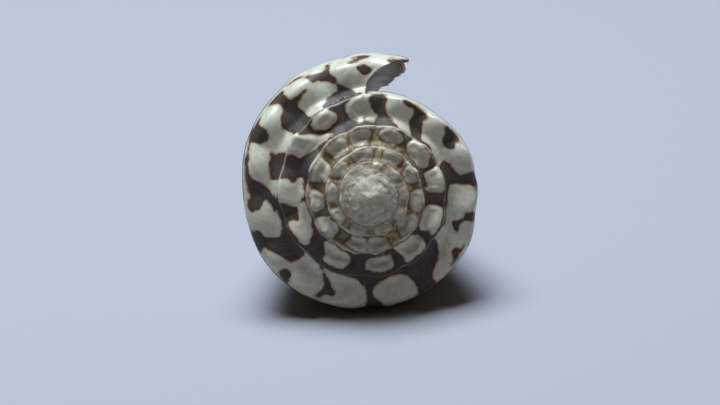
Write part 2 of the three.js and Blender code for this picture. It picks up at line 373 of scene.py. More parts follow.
# What is known at each point: its growth angle, the millimetres grown up to it, and from 0 to 1 how far it
# is inside the mouth and on the lip's edge.
ANGLE, AGE, INSIDE, EDGE = range(4)


class Sheet:
    """The shell's points, what is known at each of them, and the triangles between them."""

    def __init__(self):
        self.points = []
        self.facts = []
        self.count = 0
        self.faces = []

    def add(self, angle, radius, height, rows, inside=0.0, edge=0.0):
        """Adds points by angle, distance from the axis and height, and returns their numbers."""
        angle, radius, height, rows, inside, edge = np.broadcast_arrays(
            angle, radius, height, rows, inside, edge
        )
        around = np.radians(angle)
        points = np.stack([radius * np.sin(around), radius * np.cos(around), height], -1)
        self.points.append(points.reshape(-1, 3))
        self.facts.append(np.stack([angle, GROWN[rows], inside, edge], -1).reshape(-1, 4))
        numbers = np.arange(self.count, self.count + angle.size).reshape(angle.shape)
        self.count += angle.size
        return numbers

    def between(self, first, last, places, inside, edge):
        """Adds points between two points, or rows of points, at the given places from 0 to 1."""
        points = np.concatenate(self.points)
        facts = np.concatenate(self.facts)
        place = np.reshape(places, (-1,) + (1,) * (np.ndim(first) + 1))
        mixed = mix(points[first], points[last], place)
        known = mix(facts[first], facts[last], place)
        known[..., :INSIDE] = facts[first][..., :INSIDE]
        known[..., INSIDE] = inside
        known[..., EDGE] = edge
        self.points.append(mixed.reshape(-1, 3))
        self.facts.append(known.reshape(-1, 4))
        numbers = np.arange(self.count, self.count + mixed[..., 0].size).reshape(mixed.shape[:-1])
        self.count += numbers.size
        return numbers

    def at(self, numbers):
        """Distance from the axis and height of points."""
        points = np.concatenate(self.points)[numbers]
        return np.hypot(points[..., 0], points[..., 1]), points[..., 2]

    def join(self, grid):
        """Joins each row of point numbers with the next. A triangle that falls together is left out."""
        a, b = grid[:-1, :-1], grid[:-1, 1:]
        c, d = grid[1:, :-1], grid[1:, 1:]
        for corners in ((a, c, b), (b, c, d)):
            faces = np.stack(corners, -1).reshape(-1, 3)
            whole = (faces[:, 0] != faces[:, 1]) & (faces[:, 1] != faces[:, 2]) & (faces[:, 2] != faces[:, 0])
            self.faces.append(faces[whole])


def chip_angles(rows, shares):
    """How far the lip's free edge is broken back near the last rows, in degrees."""
    length = SHELL_LENGTH - SPIRE_DROP
    down = shares * length
    ragged = 0.5 + 0.5 * wander(down, CHIP_SPACING, 21)
    small = np.abs(wander(down, SMALL_CHIP_SPACING, 22))
    scallop = mix(ragged**CHIP_CURVE, small, SMALL_CHIP_SHARE)
    start = ease(down, *CHIP_START)
    radius = side_radius(np.array(LIP_ANGLE), -SPIRE_DROP - down)
    depth = np.degrees(CHIP_DEPTH * scallop * start / radius)
    near = ease(rows, LAST_ROW - CHIP_ROWS, LAST_ROW)
    return near[:, None] * depth[None, :]


def crown_block(sheet, rows, columns, suture_radius=None, suture_height=None):
    """Adds the ramp and shoulder points of these rows, in these columns."""
    numbers = []
    angle_of_row = row_angle(rows)[:, None]
    lift = fold(rows)[:, None]
    ramp = [c for c in columns if c <= RIDGE_COLUMN]
    bent = [c for c in columns if c > RIDGE_COLUMN]
    if ramp:
        share = np.array([RAMP_SHARES[c] for c in ramp])[None, :]
        angle = angle_of_row - ramp_lag(share)
        radius, height = ramp_point(angle, share, suture_radius[:, None], suture_height[:, None])
        width = ridge_at(angle)[1] - suture_radius[:, None]
        groove = np.exp(-(((share * width - GROOVE_PLACE) / GROOVE_WIDTH) ** 2)) * ease(width, *GROOVED_RAMPS)
        height = height + lift * ease(share, *FOLD_RAMP_FADE) - GROOVE_DEPTH * groove
        numbers.append(sheet.add(angle, radius, height, rows[:, None]))
    if bent:
        bend = BENDS[np.array(bent) - RIDGE_COLUMN - 1][None, :]
        angle = angle_of_row - shoulder_lag(bend)
        radius, height = shoulder_point(angle, bend)
        free = np.where(bend <= SEAT_BENDS[-1], 1 - bend / SEAT_BENDS[-1], 0)
        height = height + lift * free
        numbers.append(sheet.add(angle, radius, height, rows[:, None]))
    return np.concatenate(numbers, 1)


def side_block(sheet, rows, end_height, shares=SIDE_SHARES, inside=0.0, chipped=False):
    """Adds the side points of these rows, down to the height at which each row ends."""
    angle = row_angle(rows)[:, None] + along(SIDE_LEAD, shares)[None, :]
    if chipped:
        angle = angle - chip_angles(rows, shares)
    height = mix(shoulder_point(angle, 90)[1], end_height[:, None], shares[None, :])
    lift = fold(rows)[:, None] * ease(shares, 0, FOLD_SIDE_FADE)[None, :]
    radius = side_radius(angle, height) + lift * (1 - FOLD_SIDE_LOSS * shares[None, :])
    return sheet.add(angle, radius, height, rows[:, None], inside)


def wind_outside(sheet):
    """Winds the outside from the tip to the lip, one turn of rows at a time, because each turn starts on
    the seat of the turn before it."""
    apex = sheet.add(np.array(0.0), 0.0, 0.0, 0)
    outer = np.full((LAST_ROW + 1, FRONT_COLUMN + 1), -1)
    outer[:ROWS_TO_SUTURE, 0] = apex
    start_angle = np.array([row_angle(0) - shoulder_lag(SEAT_BENDS[-1])])
    first = sheet.add(start_angle, *shoulder_point(start_angle, SEAT_BENDS[-1]), 0)
    outer[0, 1:SEAT_COLUMN + 1] = first
    for begin in range(1, LAST_ROW + 1, ROWS_TO_SUTURE):
        rows = np.arange(begin, min(begin + ROWS_TO_SUTURE, LAST_ROW + 1))
        seated = rows >= ROWS_TO_SUTURE
        outer[rows[seated], 0] = outer[rows[seated] - ROWS_TO_SUTURE, SEAT_COLUMN]
        radius, height = sheet.at(outer[rows, 0])
        columns = list(range(1, SEAT_COLUMN + 1))
        outer[rows[:, None], columns] = crown_block(sheet, rows, columns, radius, height)
    rows = ALL_ROWS[LAST_TURN_ROW:]
    columns = list(range(SEAT_COLUMN + 1, WIDEST_COLUMN + 1))
    outer[rows[:, None], columns] = crown_block(sheet, rows, columns)
    outer[rows[:, None], SIDE_COLUMNS] = side_block(sheet, rows, front_height(row_angle(rows)), chipped=True)
    sheet.join(outer[:LAST_TURN_ROW + 1, :SEAT_COLUMN + 1])
    sheet.join(outer[LAST_TURN_ROW:])
    return outer


def raise_pillar(sheet, outer):
    """The earlier whorl's side, on which the mouth opens. Deep inside, the hollow's floor rises."""
    rows = np.arange(CAVITY_ROW - ROWS_TO_SUTURE, LAST_TURN_ROW)
    pillar = np.full((LAST_TURN_ROW + 1, FRONT_COLUMN + 1), -1)
    depth = ease(CANAL_ROW - ROWS_TO_SUTURE - rows, 0, CANAL_ROW - CAVITY_ROW)
    end_height = front_height(LAST_TURN_START) + CAVITY_FLOOR_RISE * depth
    glaze = ease(LAST_TURN_ROW - rows, *GLAZE_ROWS)[:, None]
    pillar[rows, WIDEST_COLUMN] = crown_block(sheet, rows, [WIDEST_COLUMN])[:, 0]
    pillar[rows[:, None], SIDE_COLUMNS] = side_block(sheet, rows, end_height, inside=glaze)
    pillar[LAST_TURN_ROW] = outer[LAST_TURN_ROW]
    sheet.join(pillar[rows[0]:, WIDEST_COLUMN:])
    return pillar


def inner_face(sheet, outer, pillar):
    """The inner face of the last whorl's wall, from the earlier whorl's side round to the front end."""
    inner = np.full((LAST_ROW + 1, FRONT_COLUMN + 1), -1)
    rows = np.arange(CAVITY_ROW, LAST_ROW + 1)
    against = rows - ROWS_TO_SUTURE
    inner[rows, 0] = pillar[against, WIDEST_COLUMN]
    thickness = mix(LIP_THICKNESS, WALL_THICKNESS, ease(LAST_ROW - rows, 0, LIP_THINNING / STEP))[:, None]
    seat_radius, seat_height = (x[:, None] for x in sheet.at(pillar[against, WIDEST_COLUMN]))
    end_radius, end_height = (x[:, None] for x in sheet.at(pillar[against, FRONT_COLUMN]))
    angle_of_row = row_angle(rows)[:, None]

    # Under the ramp.
    columns = np.arange(1, RIDGE_COLUMN + 1)
    share = (columns / RIDGE_COLUMN)[None, :]
    whorl, ridge_radius, ridge_height = ridge_at(angle_of_row - RIDGE_LAG)
    shelf = ridge_height + SHELF_RISE * whorl - thickness
    below_ridge = ridge_height - INSET_DOWN[0] * thickness
    fall = np.sin(np.pi * np.minimum(0.5, 2 * share))
    radius = mix(seat_radius, ridge_radius - INSET_INWARDS[0] * thickness, share)
    height = mix(mix(seat_height, shelf, fall), below_ridge, ease(share, CEILING_BEND, 1))
    angle = angle_of_row - ramp_lag(share)
    inner[rows[:, None], columns] = sheet.add(angle, radius, height, rows[:, None], 1.0)

    # Round the shoulder.
    columns = np.arange(RIDGE_COLUMN + 1, WIDEST_COLUMN + 1)
    radius, height = sheet.at(outer[rows[:, None], columns])
    inwards = np.interp(BENDS, INSET_BENDS, INSET_INWARDS)[None, :]
    down = np.interp(BENDS, INSET_BENDS, INSET_DOWN)[None, :]
    angle = angle_of_row - shoulder_lag(BENDS)[None, :]
    radius = radius - inwards * thickness
    height = height - down * thickness
    inner[rows[:, None], columns] = sheet.add(angle, radius, height, rows[:, None], 1.0)

    # Down the side. Behind the canal the wall closes on the pillar.
    share = SIDE_SHARES[None, :]
    outside_height = sheet.at(outer[rows[:, None], SIDE_COLUMNS])[1]
    deep = (rows < CANAL_ROW)[:, None]
    height = np.where(deep, mix(outside_height, end_height, share), outside_height)
    angle = angle_of_row + along(SIDE_LEAD, SIDE_SHARES)[None, :] - chip_angles(rows, SIDE_SHARES)
    thin = mix(thickness, np.minimum(thickness, FRONT_THICKNESS), share)
    opened = ease(rows, CANAL_ROW, CANAL_ROW + CANAL_OPENING / STEP)[:, None]
    closing = ease(share, *CANAL_CLOSING) * (1 - opened)
    radius = mix(side_radius(angle, height) - thin, end_radius, closing)
    inner[rows[:, None], SIDE_COLUMNS] = sheet.add(angle, radius, height, rows[:, None], 1.0)
    closed = rows[rows <= CANAL_ROW]
    inner[closed, FRONT_COLUMN] = pillar[closed - ROWS_TO_SUTURE, FRONT_COLUMN]
    return inner


def close_edges(sheet, outer, inner):
    """The lip's edge, rounded over as many steps as the earlier whorl's shoulder has below its seat, and
    the same along the front end."""
    steps = len(SHOULDER_BENDS)
    places = np.arange(1, steps) / steps
    shade = ease(places, *EDGE_SHADE)[:, None]
    lip = np.empty((steps + 1, FRONT_COLUMN + 1), int)
    lip[0] = outer[LAST_ROW]
    lip[steps] = inner[LAST_ROW]
    lip[1:steps, 1:] = sheet.between(lip[0, 1:], lip[steps, 1:], places, shade, 1 - shade)
    lip[1:steps, 0] = outer[LAST_TURN_ROW, SEAT_COLUMN + 1:WIDEST_COLUMN]
    sheet.join(lip)
    rows = np.arange(CANAL_ROW, LAST_ROW + 1)
    edge = np.empty((len(rows), steps + 1), int)
    edge[:, 0] = outer[rows, FRONT_COLUMN]
    edge[:, steps] = inner[rows, FRONT_COLUMN]
    edge[:-1, 1:steps] = sheet.between(edge[:-1, 0], edge[:-1, steps], places, shade, 1 - shade).T
    edge[-1] = lip[:, FRONT_COLUMN]
    sheet.join(edge)
    return edge


def close_tip(sheet, outer, pillar, edge):
    """The front end of the pillar closes on its tip."""
    tip_height = front_height(LAST_TURN_START) - COLUMELLA_RISE
    tip = sheet.add(np.array([0.0]), 0.0, tip_height, LAST_TURN_ROW, 1.0)[0]
    rim = np.concatenate([
        pillar[CANAL_ROW - ROWS_TO_SUTURE:LAST_TURN_ROW, FRONT_COLUMN],
        outer[LAST_TURN_ROW:CANAL_ROW + 1, FRONT_COLUMN],
        edge[0, 1:-1],
    ])
    fan = np.stack([rim, np.roll(rim, -1), np.full_like(rim, tip)], -1)
    sheet.faces.append(fan)


def build_sheet():
    """Winds the whole shell: the outside, the pillar that the mouth opens on, the inside and the edges."""
    sheet = Sheet()
    outer = wind_outside(sheet)
    pillar = raise_pillar(sheet, outer)
    inner = inner_face(sheet, outer, pillar)
    sheet.join(inner[CAVITY_ROW:][::-1])
    deep_end = pillar[CAVITY_ROW - ROWS_TO_SUTURE, np.maximum(np.arange(FRONT_COLUMN + 1), WIDEST_COLUMN)]
    sheet.join(np.stack([inner[CAVITY_ROW], deep_end]))
    edge = close_edges(sheet, outer, inner)
    close_tip(sheet, outer, pillar, edge)
    return sheet, outer


# Marks are smooth outlines through a few points. A point is a growth angle and the distance from the axis
# in millimetres at which it shows from the tip. Past the shoulder, distance goes on down the side. On the
# last whorl the marks are the dark blotches that part the white, from here on:
DARK_MARKS_FROM = -4
DARK_MARKS = [
    [(-9, 12.9), (-3, 12.9), (2, 12.75), (5, 12.5), (4, 12.1), (-9, 12.1)],
    [(4, 17.8), (11, 17.6), (11.5, 16.1), (13, 14.7), (17, 13.8), (25, 13.0), (22, 12.4), (6, 12.2),
     (7, 13.8), (4, 14.7), (2, 16.0), (1, 16.9)],
    [(22, 17.8), (30, 17.9), (36.5, 17.7), (39, 17.2), (38, 16.6), (39, 15.8), (41, 14.9), (45, 13.8),
     (44, 12.9), (38, 12.9), (33.5, 13.9), (31, 14.9), (30, 15.9), (28.5, 16.9)],
    [(40, 13.2), (48, 13.9), (56, 14.1), (58, 13.7), (52, 13.0), (43, 12.8)],
    [(50, 18.3), (56, 19.1), (62, 19.3), (61, 18.2), (64, 17.4), (62, 16.7), (59, 16.1), (56, 16.5),
     (54, 17.5)],
    [(80, 19.8), (90, 20.0), (87, 18.9), (86, 17.4), (85.5, 16.1), (87, 15.2), (93, 14.8), (103, 14.8),
     (112, 15.2), (115, 14.7), (104, 14.0), (90, 13.6), (78, 13.5), (71, 13.7), (68.5, 14.7), (70, 15.4),
     (74, 16.1), (78, 16.7), (80, 17.6), (80.5, 18.6)],
    [(101.5, 20.0), (106, 20.4), (107, 19.2), (110, 18.0), (115, 17.9), (113.5, 17.2), (111, 16.7),
     (109, 17.4), (106, 18.1), (103, 18.2), (102.5, 19.0)],
    [(118, 20.5), (132, 20.7), (129, 19.9), (125.5, 19.2), (122, 20.0)],
    [(144.5, 21.3), (153.5, 21.3), (153.5, 19.3), (154, 18.0), (156, 17.0), (163, 16.4), (169, 16.7),
     (174, 17.2), (177, 18.0), (177.5, 19.1), (175.5, 20.2), (172.5, 21.5), (181.5, 21.6), (181, 19.8),
     (181.5, 18.3), (184, 17.2), (191, 16.3), (209, 16.1), (211, 15.2), (190, 14.8), (150, 14.4),
     (130, 14.3), (126, 15.2), (129, 16.4), (131, 17.4), (135, 18.3), (141, 19.1), (143.5, 19.8)],
    [(203, 21.8), (207, 21.9), (206, 20.6), (205, 19.4), (206, 18.3), (213, 16.5), (210, 16.4), (205, 17.7),
     (202, 18.5), (198.5, 19.5), (199, 20.3), (203, 20.9)],
    [(221, 22.4), (226.5, 22.6), (228, 21.8), (227, 21.0), (223.5, 20.8), (222, 21.5)],
    [(241, 23.1), (251, 23.2), (250.5, 21.8), (249, 21.2), (245.5, 20.7), (244.5, 19.8), (243.5, 18.7),
     (243.5, 18.0), (247, 17.4), (256, 16.9), (264, 17.0), (267, 16.2), (245, 15.4), (229, 15.2),
     (225.5, 16.3), (225.5, 18.0), (227, 18.9), (229.5, 19.6), (234, 20.2), (239, 20.9), (241, 21.7)],
    [(261, 22.2), (268, 21.8), (272, 22.0), (276, 22.6), (281, 22.95), (288, 23.4), (295, 23.85),
     (306, 24.3), (318, 24.5), (306, 23.95), (296, 23.45), (289, 22.95), (283, 22.4), (279, 22.0),
     (276.5, 21.3), (275, 20.0), (274, 19.1), (271, 18.2), (268, 17.3), (264, 16.7), (259, 16.8),
     (258.5, 17.6), (262, 18.2), (266, 18.7), (263, 19.6), (260.5, 20.4)],
    [(291.5, 19.3), (287, 19.0), (282, 18.5), (278, 18.0), (277.5, 17.2), (279, 15.8), (295, 15.9),
     (294, 17.4), (292, 18.2)],
    [(292.5, 24.0), (303, 24.2), (301, 23.1), (301, 22.0), (299.5, 21.1), (297, 20.6), (294.5, 21.1),
     (293, 22.0), (293, 23.1)],
    [(309, 24.4), (319, 24.4), (319.5, 23.3), (320, 22.3), (323, 21.9), (330, 21.9), (322, 20.7),
     (320, 20.0), (321, 18.7), (322, 17.6), (325, 16.4), (309, 16.2), (307, 17.6), (307.5, 18.7),
     (306, 19.6), (308.5, 20.4), (313, 21.3), (315, 22.2), (314, 23.3)],
    [(322, 24.9), (328, 25.0), (331, 24.3), (334, 23.8), (340, 23.7), (341.5, 24.6), (346, 25.2),
     (343.5, 24.4), (342.5, 23.7), (341.5, 22.6), (343.5, 21.7), (345, 20.6), (348, 19.6), (352, 18.5),
     (355, 17.2), (334, 16.9), (336, 18.5), (341, 19.2), (343, 19.9), (341.5, 20.9), (337, 21.9),
     (333, 22.4), (331.5, 23.3), (329, 24.0), (324, 24.3)],
    [(351, 23.5), (351.3, 24.0), (354.5, 24.4), (355.5, 24.55), (353, 24.75), (354, 25.0), (358, 25.05),
     (361.5, 25.0), (359.8, 24.5), (357.3, 24.15), (355.6, 23.85), (353, 23.5)],
    [(355, 22.6), (357, 23.2), (361, 22.8), (361.5, 21.8), (359.5, 21.3), (356.5, 21.5)],
    [(369.5, 24.6), (376, 25.2), (381, 25.4), (380, 24.0), (374, 23.6), (369, 24.0)],
]

# On the whorl before, they are the white patches on its knobs.
WHITE_MARKS_FROM = -355
WHITE_MARKS = [
    [(-349, 10.5), (-347, 11.6), (-342, 12.2), (-332, 12.3), (-327, 11.7), (-325.5, 10.8), (-329, 9.8),
     (-338, 9.4), (-346, 9.7)],
    [(-321, 11.0), (-319, 12.3), (-313, 13.1), (-302, 13.2), (-298, 12.7), (-292, 11.8), (-293, 10.5),
     (-302, 10.0), (-313, 10.1), (-318, 10.4)],
    [(-291, 13.7), (-272, 14.1), (-269, 13.4), (-270, 11.2), (-276, 10.8), (-285, 10.7), (-288, 11.4),
     (-289, 12.5)],
    [(-258, 12.8), (-256, 14.1), (-250, 14.6), (-236, 14.5), (-236, 13.2), (-233, 12.1), (-236, 11.2),
     (-248, 10.7), (-255, 11.4)],
    [(-228.5, 12.8), (-228, 14.1), (-224, 15.0), (-209, 15.1), (-208, 13.8), (-205, 12.5), (-204.5, 11.4),
     (-212, 11.0), (-222, 11.3), (-227, 12.1)],
    [(-200.5, 12.8), (-200, 14.3), (-196, 15.0), (-184, 15.0), (-179, 14.3), (-178.5, 13.0), (-184, 12.3),
     (-194, 12.1), (-199, 12.3)],
    [(-166.5, 13.2), (-164, 14.5), (-158, 15.1), (-147, 15.1), (-145, 13.8), (-141, 12.8), (-140, 12.1),
     (-147, 11.7), (-157, 11.9), (-164, 12.5)],
    [(-132, 14.7), (-129, 15.6), (-120, 15.9), (-111, 15.9), (-111, 14.7), (-113, 14.1), (-107, 13.6),
     (-100, 12.8), (-99, 11.9), (-106, 11.5), (-117, 11.7), (-126, 12.7), (-131, 13.8)],
    [(-98.6, 15.5), (-97, 17.2), (-83, 17.2), (-81, 16.0), (-82.2, 15.0), (-83.8, 14.2), (-82.5, 13.6),
     (-79.5, 13.1), (-79, 12.3), (-85, 11.9), (-93, 11.9), (-99, 12.4), (-102, 13.2), (-101, 14.4)],
    [(-64, 14.7), (-64.5, 17.3), (-52, 17.6), (-48.5, 15.6), (-44, 14.3), (-37, 13.2), (-31, 12.3),
     (-38, 12.1), (-50, 12.5), (-60, 13.0), (-64, 13.8)],
    [(-41, 15.2), (-40, 16.1), (-35, 16.9), (-27, 16.9), (-24, 16.0), (-23, 14.9), (-26, 13.9), (-31, 13.5),
     (-37, 13.9), (-40, 14.5)],
    [(-15, 15.0), (-14, 16.3), (-11, 17.2), (-5, 17.8), (3, 17.8), (3, 16.3), (3, 15.0), (6, 13.8),
     (8, 12.8), (1, 12.4), (-8, 12.7), (-13, 13.7)],
]
CURVE_PIECES = 4

# A point further from a mark than this, in degrees or millimetres, counts as far away.
NEAR_ANGLE = 14
NEAR_DISTANCE = 2.5
FAR = 9.0

# On the whorls before that, every knob carries one white patch. Its reach round the shell is a share of the
# knobs' spacing, and its reach inwards a share of the whorl's width. It passes the ridge by a little.
PATCH_REACH = 0.43
PATCH_INWARDS = 0.84
PATCH_TAPER = 0.72
PATCH_PAST_RIDGE = 0.1

# The side's own marks take over from the outlines between these two distances below the shoulder.
SIDE_FROM = 1.0
SIDE_TO = 3.4

# White tents are strewn on the side in rows: the size of the first and last row's tents in millimetres,
# how far apart they stand as a share of their size, how each may differ from that, and how many are left
# out or grown.
TENT_SIZES = (7.6, 3.6)
TENT_RADII = (0.9, 0.7)
TENT_FIRST_ROW = 0.4
TENT_ROW_SHARE = 0.66
TENT_PITCH_SHARE = 1.1
TENT_SHIFT_ROUND = 0.2
TENT_SHIFT_DOWN = 0.22
TENT_SIZE_SHARES = (0.85, 1.1)
TENT_STRETCH = (0.85, 1.2)
TENT_LEAN = 0.25
TENTS_LEFT_OUT = 0.08
TENTS_GROWN = 0.25
TENT_GROWTH = 1.35

# How sharp the corners of patches and tents are, and where the power that rounds them is cut off, so that it
# stays a number that can be worked with.
ROUNDNESS = 2.2
FAR_POWER = 40

# A dark line runs round below the shoulder, lowest towards one side. Its distance past the edge, how much
# that changes and half its width are in millimetres. It has thicker and thinner stretches, and ends before
# the lip.
EDGE_LINE_PLACE = 1.7
EDGE_LINE_FALL = 0.8
EDGE_LINE_LOWEST = 336
EDGE_LINE_HALF = 1.5
EDGE_LINE_SWING = (0.9, 0.35)
EDGE_LINE_CHANGE = 17
EDGE_LINE_END = (318, 340)

# How tan the ground between the marks is, from brown-black to tan, by growth angle.
TAN = [[-1080, 1], [-560, 1], [-520, 0.5], [-430, 0.4], [-395, 0.75], [-340, 0.75], [-290, 0.3], [-250, 0]]


def smooth_outline(corners):
    """A closed curve through the corners, as a list of points."""
    corner = np.array(corners, float)
    before, after, later = np.roll(corner, 1, 0), np.roll(corner, -1, 0), np.roll(corner, -2, 0)
    pieces = []
    for t in np.arange(CURVE_PIECES) / CURVE_PIECES:
        pieces.append(0.5 * (
            2 * corner + (after - before) * t + (2 * before - 5 * corner + 4 * after - later) * t**2
            + (3 * corner - before - 3 * after + later) * t**3
        ))
    return np.stack(pieces, 1).reshape(-1, 2)


def outline_distance(around, across, corners):
    """Millimetres from a mark's outline, negative inside. Far from the mark it stays at a plain value."""
    corner = np.array(corners, float)
    low, high = corner.min(0), corner.max(0)
    near = (around > low[0] - NEAR_ANGLE) & (around < high[0] + NEAR_ANGLE)
    near &= (across > low[1] - NEAR_DISTANCE) & (across < high[1] + NEAR_DISTANCE)
    middle = (low + high) / 2
    per_degree = math.radians(1) * middle[1]
    start = (smooth_outline(corners) - (middle[0], 0)) * (per_degree, 1)
    along_edge = np.roll(start, -1, 0) - start
    x = ((around[near] - middle[0]) * per_degree)[:, None] - start[:, 0]
    y = across[near][:, None] - start[:, 1]
    share = np.clip((x * along_edge[:, 0] + y * along_edge[:, 1]) / (along_edge**2).sum(1), 0, 1)
    away = np.hypot(x - share * along_edge[:, 0], y - share * along_edge[:, 1]).min(1)
    above, below = y >= 0, y < along_edge[:, 1]
    left = along_edge[:, 0] * y - along_edge[:, 1] * x > 0
    crossings = (above & below & left).sum(1) - (~above & ~below & ~left).sum(1)
    distance = np.full(around.shape, FAR)
    distance[near] = np.where(crossings != 0, -away, away)
    return distance


def patch_distance(x, y, corners):
    """Millimetres from a patch's edge, negative inside. Corners go round clockwise, and come out round."""
    total = 0
    for (x0, y0), (x1, y1) in zip(corners, corners[1:] + corners[:1]):
        length = math.hypot(x1 - x0, y1 - y0)
        distance = ((x - x0) * (y0 - y1) + (y - y0) * (x1 - x0)) / length
        total = total + np.exp(np.clip(ROUNDNESS * distance, -FAR_POWER, FAR_POWER))
    return np.log(total) / ROUNDNESS


def strewn_tents():
    """Tents on the side: growth angle and distance down of the middle, radius there, size and stretch."""
    rng = random.Random(7)
    tents = []
    down = SIDE_FROM + TENT_FIRST_ROW * TENT_SIZES[0]
    while down < SHELL_LENGTH:
        place = down / SHELL_LENGTH
        size = mix(*TENT_SIZES, place)
        radius = mix(LIP_RADIUS * TENT_RADII[0], LIP_FRONT_RADIUS * TENT_RADII[1], place)
        count = max(4, round(2 * math.pi * radius / (size * TENT_PITCH_SHARE)))
        phase = rng.random()
        for k in range(count):
            turned = (k + phase + rng.uniform(-TENT_SHIFT_ROUND, TENT_SHIFT_ROUND)) / count
            shift = down + size * rng.uniform(-TENT_SHIFT_DOWN, TENT_SHIFT_DOWN)
            grown = rng.uniform(*TENT_SIZE_SHARES) * (TENT_GROWTH if rng.random() < TENTS_GROWN else 1)
            stretch = rng.uniform(*TENT_STRETCH)
            lean = rng.uniform(-TENT_LEAN, TENT_LEAN)
            if rng.random() > TENTS_LEFT_OUT:
                tents.append((LAST_TURN_START + TURN * turned, shift, radius, size * grown, stretch, lean))
        down += size * TENT_ROW_SHARE
    return tents


def where_seen(points, angle, outer):
    """Growth angle and distance from the axis at which each point shows in the photograph. The picture's
    plane goes through the shoulder. Further down, distance is measured over the surface."""
    nearer = points[:, 2] - AXIS_PLANE
    scale = CAMERA_DISTANCE / (CAMERA_DISTANCE - nearer)
    seen_x = (points[:, 0] + nearer * math.tan(math.radians(CAMERA_OFF_LEFT))) * scale
    seen_y = (points[:, 1] - nearer * math.tan(math.radians(CAMERA_OFF_UP))) * scale
    seen = np.degrees(np.arctan2(seen_x, seen_y))
    around = angle + (seen - angle + TURN / 2) % TURN - TURN / 2
    across = np.hypot(seen_x, seen_y)
    first = outer[LAST_TURN_ROW:, MEASURED_COLUMN]
    ahead = around[first] - angle[first]
    for column in range(MEASURED_COLUMN + 1, FRONT_COLUMN + 1):
        here, before = outer[LAST_TURN_ROW:, column], outer[LAST_TURN_ROW:, column - 1]
        across[here] = across[before] + np.linalg.norm(points[here] - points[before], axis=1)
        around[here] = angle[here] + ahead
    return around, across


def nearest_mark(around, across, marks):
    """Millimetres from the nearest of the marks, negative inside of one."""
    return np.min([outline_distance(around, across, mark) for mark in marks], 0)


def knob_patches(angle, radius):
    """Millimetres from the nearest patch on the oldest whorls' knobs, negative inside of one."""
    nearest = np.full(len(angle), FAR)
    for before, knob, after in zip(KNOBS, KNOBS[1:], KNOBS[2:]):
        if knob > WHITE_MARKS_FROM:
            break
        ridge = float(ridge_at(np.array(float(knob)))[1])
        inwards = -PATCH_INWARDS * ridge * (1 - 1 / SPIRE_TURN_GROWTH)
        reach = PATCH_REACH * math.radians(after - before) / 2 * ridge
        taper = PATCH_TAPER * reach
        corners = [(-taper, inwards), (-reach, PATCH_PAST_RIDGE), (reach, PATCH_PAST_RIDGE), (taper, inwards)]
        patch = patch_distance((angle - knob) * math.radians(1) * ridge, radius - ridge, corners)
        nearest = np.minimum(nearest, patch)
    return nearest


def side_tents(around, down):
    """Millimetres from the nearest tent on the side, negative inside of one."""
    nearest = np.full(len(around), FAR)
    for middle, place, radius, size, stretch, lean in strewn_tents():
        x = (around - middle) * math.radians(1) * radius
        half = 0.5 * size
        corners = [(-half, -half * stretch), (-half, half * stretch), (half, lean * size)]
        nearest = np.minimum(nearest, patch_distance(x, down - place, corners))
    return nearest


def edge_line(around, down):
    """How far inside the dark line below the shoulder each point is, in millimetres."""
    swing = EDGE_LINE_SWING[0] + EDGE_LINE_SWING[1] * wander(around, EDGE_LINE_CHANGE, 71)
    half_width = EDGE_LINE_HALF * (swing - 2 * ease(around, *EDGE_LINE_END))
    line_place = EDGE_LINE_PLACE + EDGE_LINE_FALL * np.cos(np.radians(around - EDGE_LINE_LOWEST))
    return half_width - np.abs(down - line_place)


def pattern_of(points, angle, outer):
    """Millimetres from the nearest white mark's edge at every point, negative in the white."""
    around, across = where_seen(points, angle, outer)
    dark = nearest_mark(around, across, DARK_MARKS)
    white = nearest_mark(around, across, WHITE_MARKS)
    pattern = np.where(around > DARK_MARKS_FROM, -dark, white)
    patches = knob_patches(angle, np.hypot(points[:, 0], points[:, 1]))
    pattern = np.where(around < WHITE_MARKS_FROM, np.minimum(pattern, patches), pattern)
    side = np.unique(outer[LAST_TURN_ROW:, MEASURED_COLUMN:])
    down = across[side] - whorl_radius(angle[side])
    tents = side_tents(around[side], down)
    pattern[side] = mix(pattern[side], tents, ease(down, SIDE_FROM, SIDE_TO))
    pattern[side] = np.maximum(pattern[side], edge_line(around[side], down))
    return pattern, across


def lay_down(points):
    """Turns points of the shell's own frame to the way it lies, in metres, on the CAD solid's place."""
    rolled = Matrix.Rotation(math.radians(ROLL), 3, "Z")
    turned = np.array(Matrix.Rotation(math.radians(90 - AXIS_RISE), 3, "X") @ rolled)
    laid = points @ turned.T * MM
    low, high = laid.min(0), laid.max(0)
    shift = np.array([
        (cad_box[0].x + cad_box[1].x - low[0] - high[0]) / 2,
        (cad_box[0].y + cad_box[1].y - low[1] - high[1]) / 2,
        cad_box[0].z - low[2],
    ])
    return laid + shift, turned, shift


def lattice_noise(points, size, seed):
    """Smooth random values from -1 to 1 that change over the given size, at every point."""
    values = np.random.default_rng(seed).uniform(-1, 1, (NOISE_CELLS, NOISE_CELLS, NOISE_CELLS))
    place = points / size + NOISE_CELLS
    cell = np.floor(place).astype(int)
    share = ease(place - cell, 0, 1)
    total = 0
    for corner in np.ndindex(2, 2, 2):
        weight = np.where(corner, share, 1 - share).prod(1)
        total = total + weight * values[tuple(((cell + corner) % NOISE_CELLS).T)]
    return total


def surface_normals(points, faces):
    """The direction away from the surface at each point."""
    a, b, c = (points[faces[:, k]] for k in range(3))
    across = np.cross(b - a, c - a)
    normals = np.zeros_like(points)
    for k in range(3):
        np.add.at(normals, faces[:, k], across)
    return normals / np.maximum(np.linalg.norm(normals, axis=1, keepdims=True), 1e-9)


